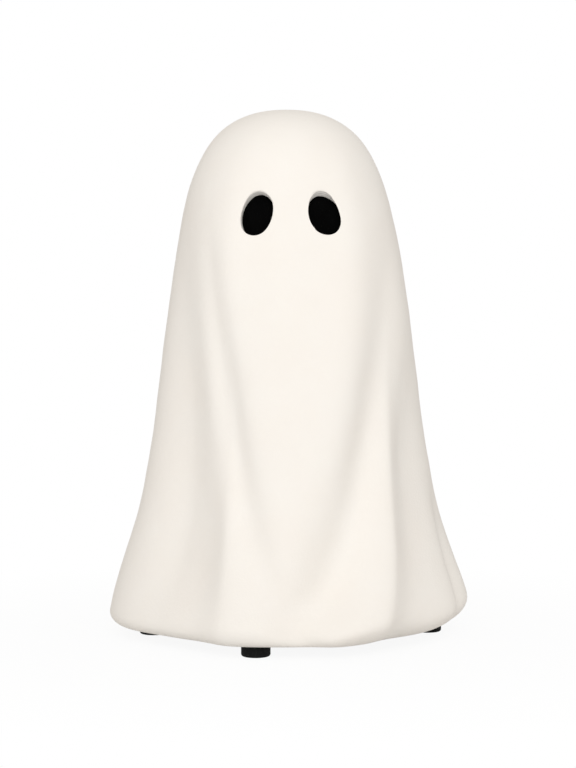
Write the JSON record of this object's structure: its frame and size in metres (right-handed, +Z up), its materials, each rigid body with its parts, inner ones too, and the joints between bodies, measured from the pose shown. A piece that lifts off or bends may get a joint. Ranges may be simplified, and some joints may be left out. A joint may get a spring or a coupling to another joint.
{
  "type": "paper mache ghost figure",
  "caption": "Hollow draped ghost figure in matte off-white paper mache, with two cut eye holes, a closed base and black rubber feet, standing on a table as a seasonal decoration.",
  "frame": {"origin": "on the table, under the middle of the figure", "axes": "+Z up to the crown, the face looks along -Y, +X to the viewer's right"},
  "size_m": [0.2437, 0.2269, 0.355],
  "materials": {
    "painted_paper_mache": "matte off-white paint",
    "seam_paper": "raw grey paper",
    "black_card": "dull black",
    "base_board": "raw brown board",
    "foot_rubber": "matte black rubber",
    "zinc_plate": "dull zinc plate"
  },
  "bodies": {
    "root": {"front_shell": "painted_paper_mache", "rear_shell": "painted_paper_mache", "seam_strip_left": "seam_paper", "seam_strip_right": "seam_paper", "crown_patch": "seam_paper", "eye_backing_left": "black_card", "eye_backing_right": "black_card", "base_panel": "base_board", "foot_front": "foot_rubber", "foot_left": "foot_rubber", "foot_right": "foot_rubber", "foot_rear": "foot_rubber", "foot_washers": "zinc_plate", "foot_screws": "zinc_plate"}
  },
  "joints": []
}
